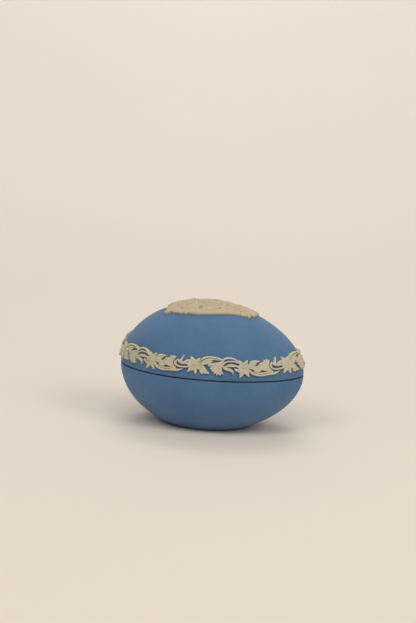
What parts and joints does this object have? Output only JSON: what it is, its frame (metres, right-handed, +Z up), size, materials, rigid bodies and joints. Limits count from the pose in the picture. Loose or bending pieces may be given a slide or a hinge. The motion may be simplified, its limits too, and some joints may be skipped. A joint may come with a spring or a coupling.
{
  "type": "egg-shaped trinket box",
  "caption": "Egg-shaped unglazed stoneware trinket box lying on its side, with a lift-off lid, a white applied flower border above the seam and a relief on its crown.",
  "frame": {"origin": "centre of the box's footprint on the plane it rests on", "axes": "+X towards the pointed end, +Z up; the XZ plane is the egg's plane of symmetry"},
  "size_m": [0.0715, 0.0501, 0.0471],
  "materials": {
    "blue_stoneware": "matte unglazed",
    "white_relief": "matte unglazed"
  },
  "bodies": {
    "base": {"base_shell": "blue_stoneware"},
    "lid": {"lid_shell": "blue_stoneware", "border_flower_01": "white_relief", "border_flower_02": "white_relief", "border_flower_03": "white_relief", "border_flower_04": "white_relief", "border_flower_05": "white_relief", "border_flower_06": "white_relief", "border_flower_07": "white_relief", "border_flower_08": "white_relief", "border_flower_09": "white_relief", "border_flower_10": "white_relief", "border_arch_spray_1": "white_relief", "border_arch_spray_2": "white_relief", "border_arch_spray_3": "white_relief", "border_arch_spray_4": "white_relief", "border_arch_spray_5": "white_relief", "border_bell_spray_1": "white_relief", "border_bell_spray_2": "white_relief", "border_bell_spray_3": "white_relief", "border_bell_spray_4": "white_relief", "blunt_end_palmette": "white_relief", "crown_ground": "white_relief", "crown_basket": "white_relief", "crown_bouquet": "white_relief", "crown_left_spray": "white_relief", "crown_right_spray": "white_relief"}
  },
  "joints": [
    {"name": "lid_lift", "type": "slide", "parent": "base", "child": "lid", "axis": [0, 0, 1], "range_m": [0, 0.05]}
  ]
}
